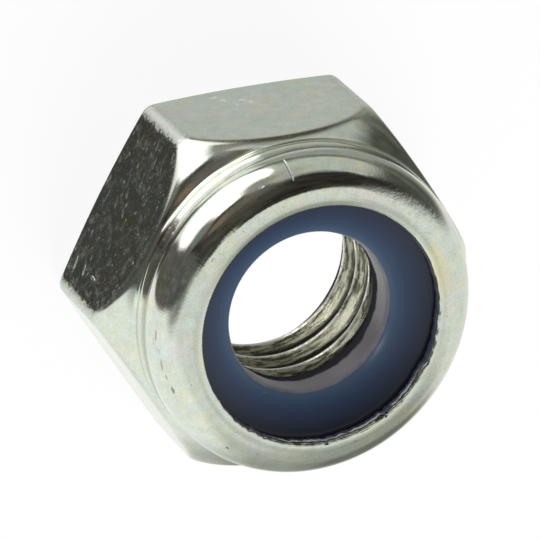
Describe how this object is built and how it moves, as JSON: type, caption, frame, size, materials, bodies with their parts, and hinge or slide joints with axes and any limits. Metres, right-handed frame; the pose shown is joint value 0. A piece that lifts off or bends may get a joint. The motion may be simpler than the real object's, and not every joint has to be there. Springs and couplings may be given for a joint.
{
  "type": "nylon insert lock nut",
  "caption": "Zinc-plated hexagon lock nut with a domed collar rolled over a blue nylon ring that grips the thread of the bolt.",
  "frame": {"origin": "centre of the bearing face, on the thread axis", "axes": "+Z along the thread axis from the bearing face towards the nylon ring, +X square to one flat of the hexagon"},
  "size_m": [0.013, 0.015, 0.008],
  "materials": {
    "zinc_plated_steel": "bright zinc plating, slightly mottled",
    "blue_nylon": "smooth deep blue nylon"
  },
  "bodies": {
    "root": {"nut_body": "zinc_plated_steel", "nylon_ring": "blue_nylon"}
  },
  "joints": []
}
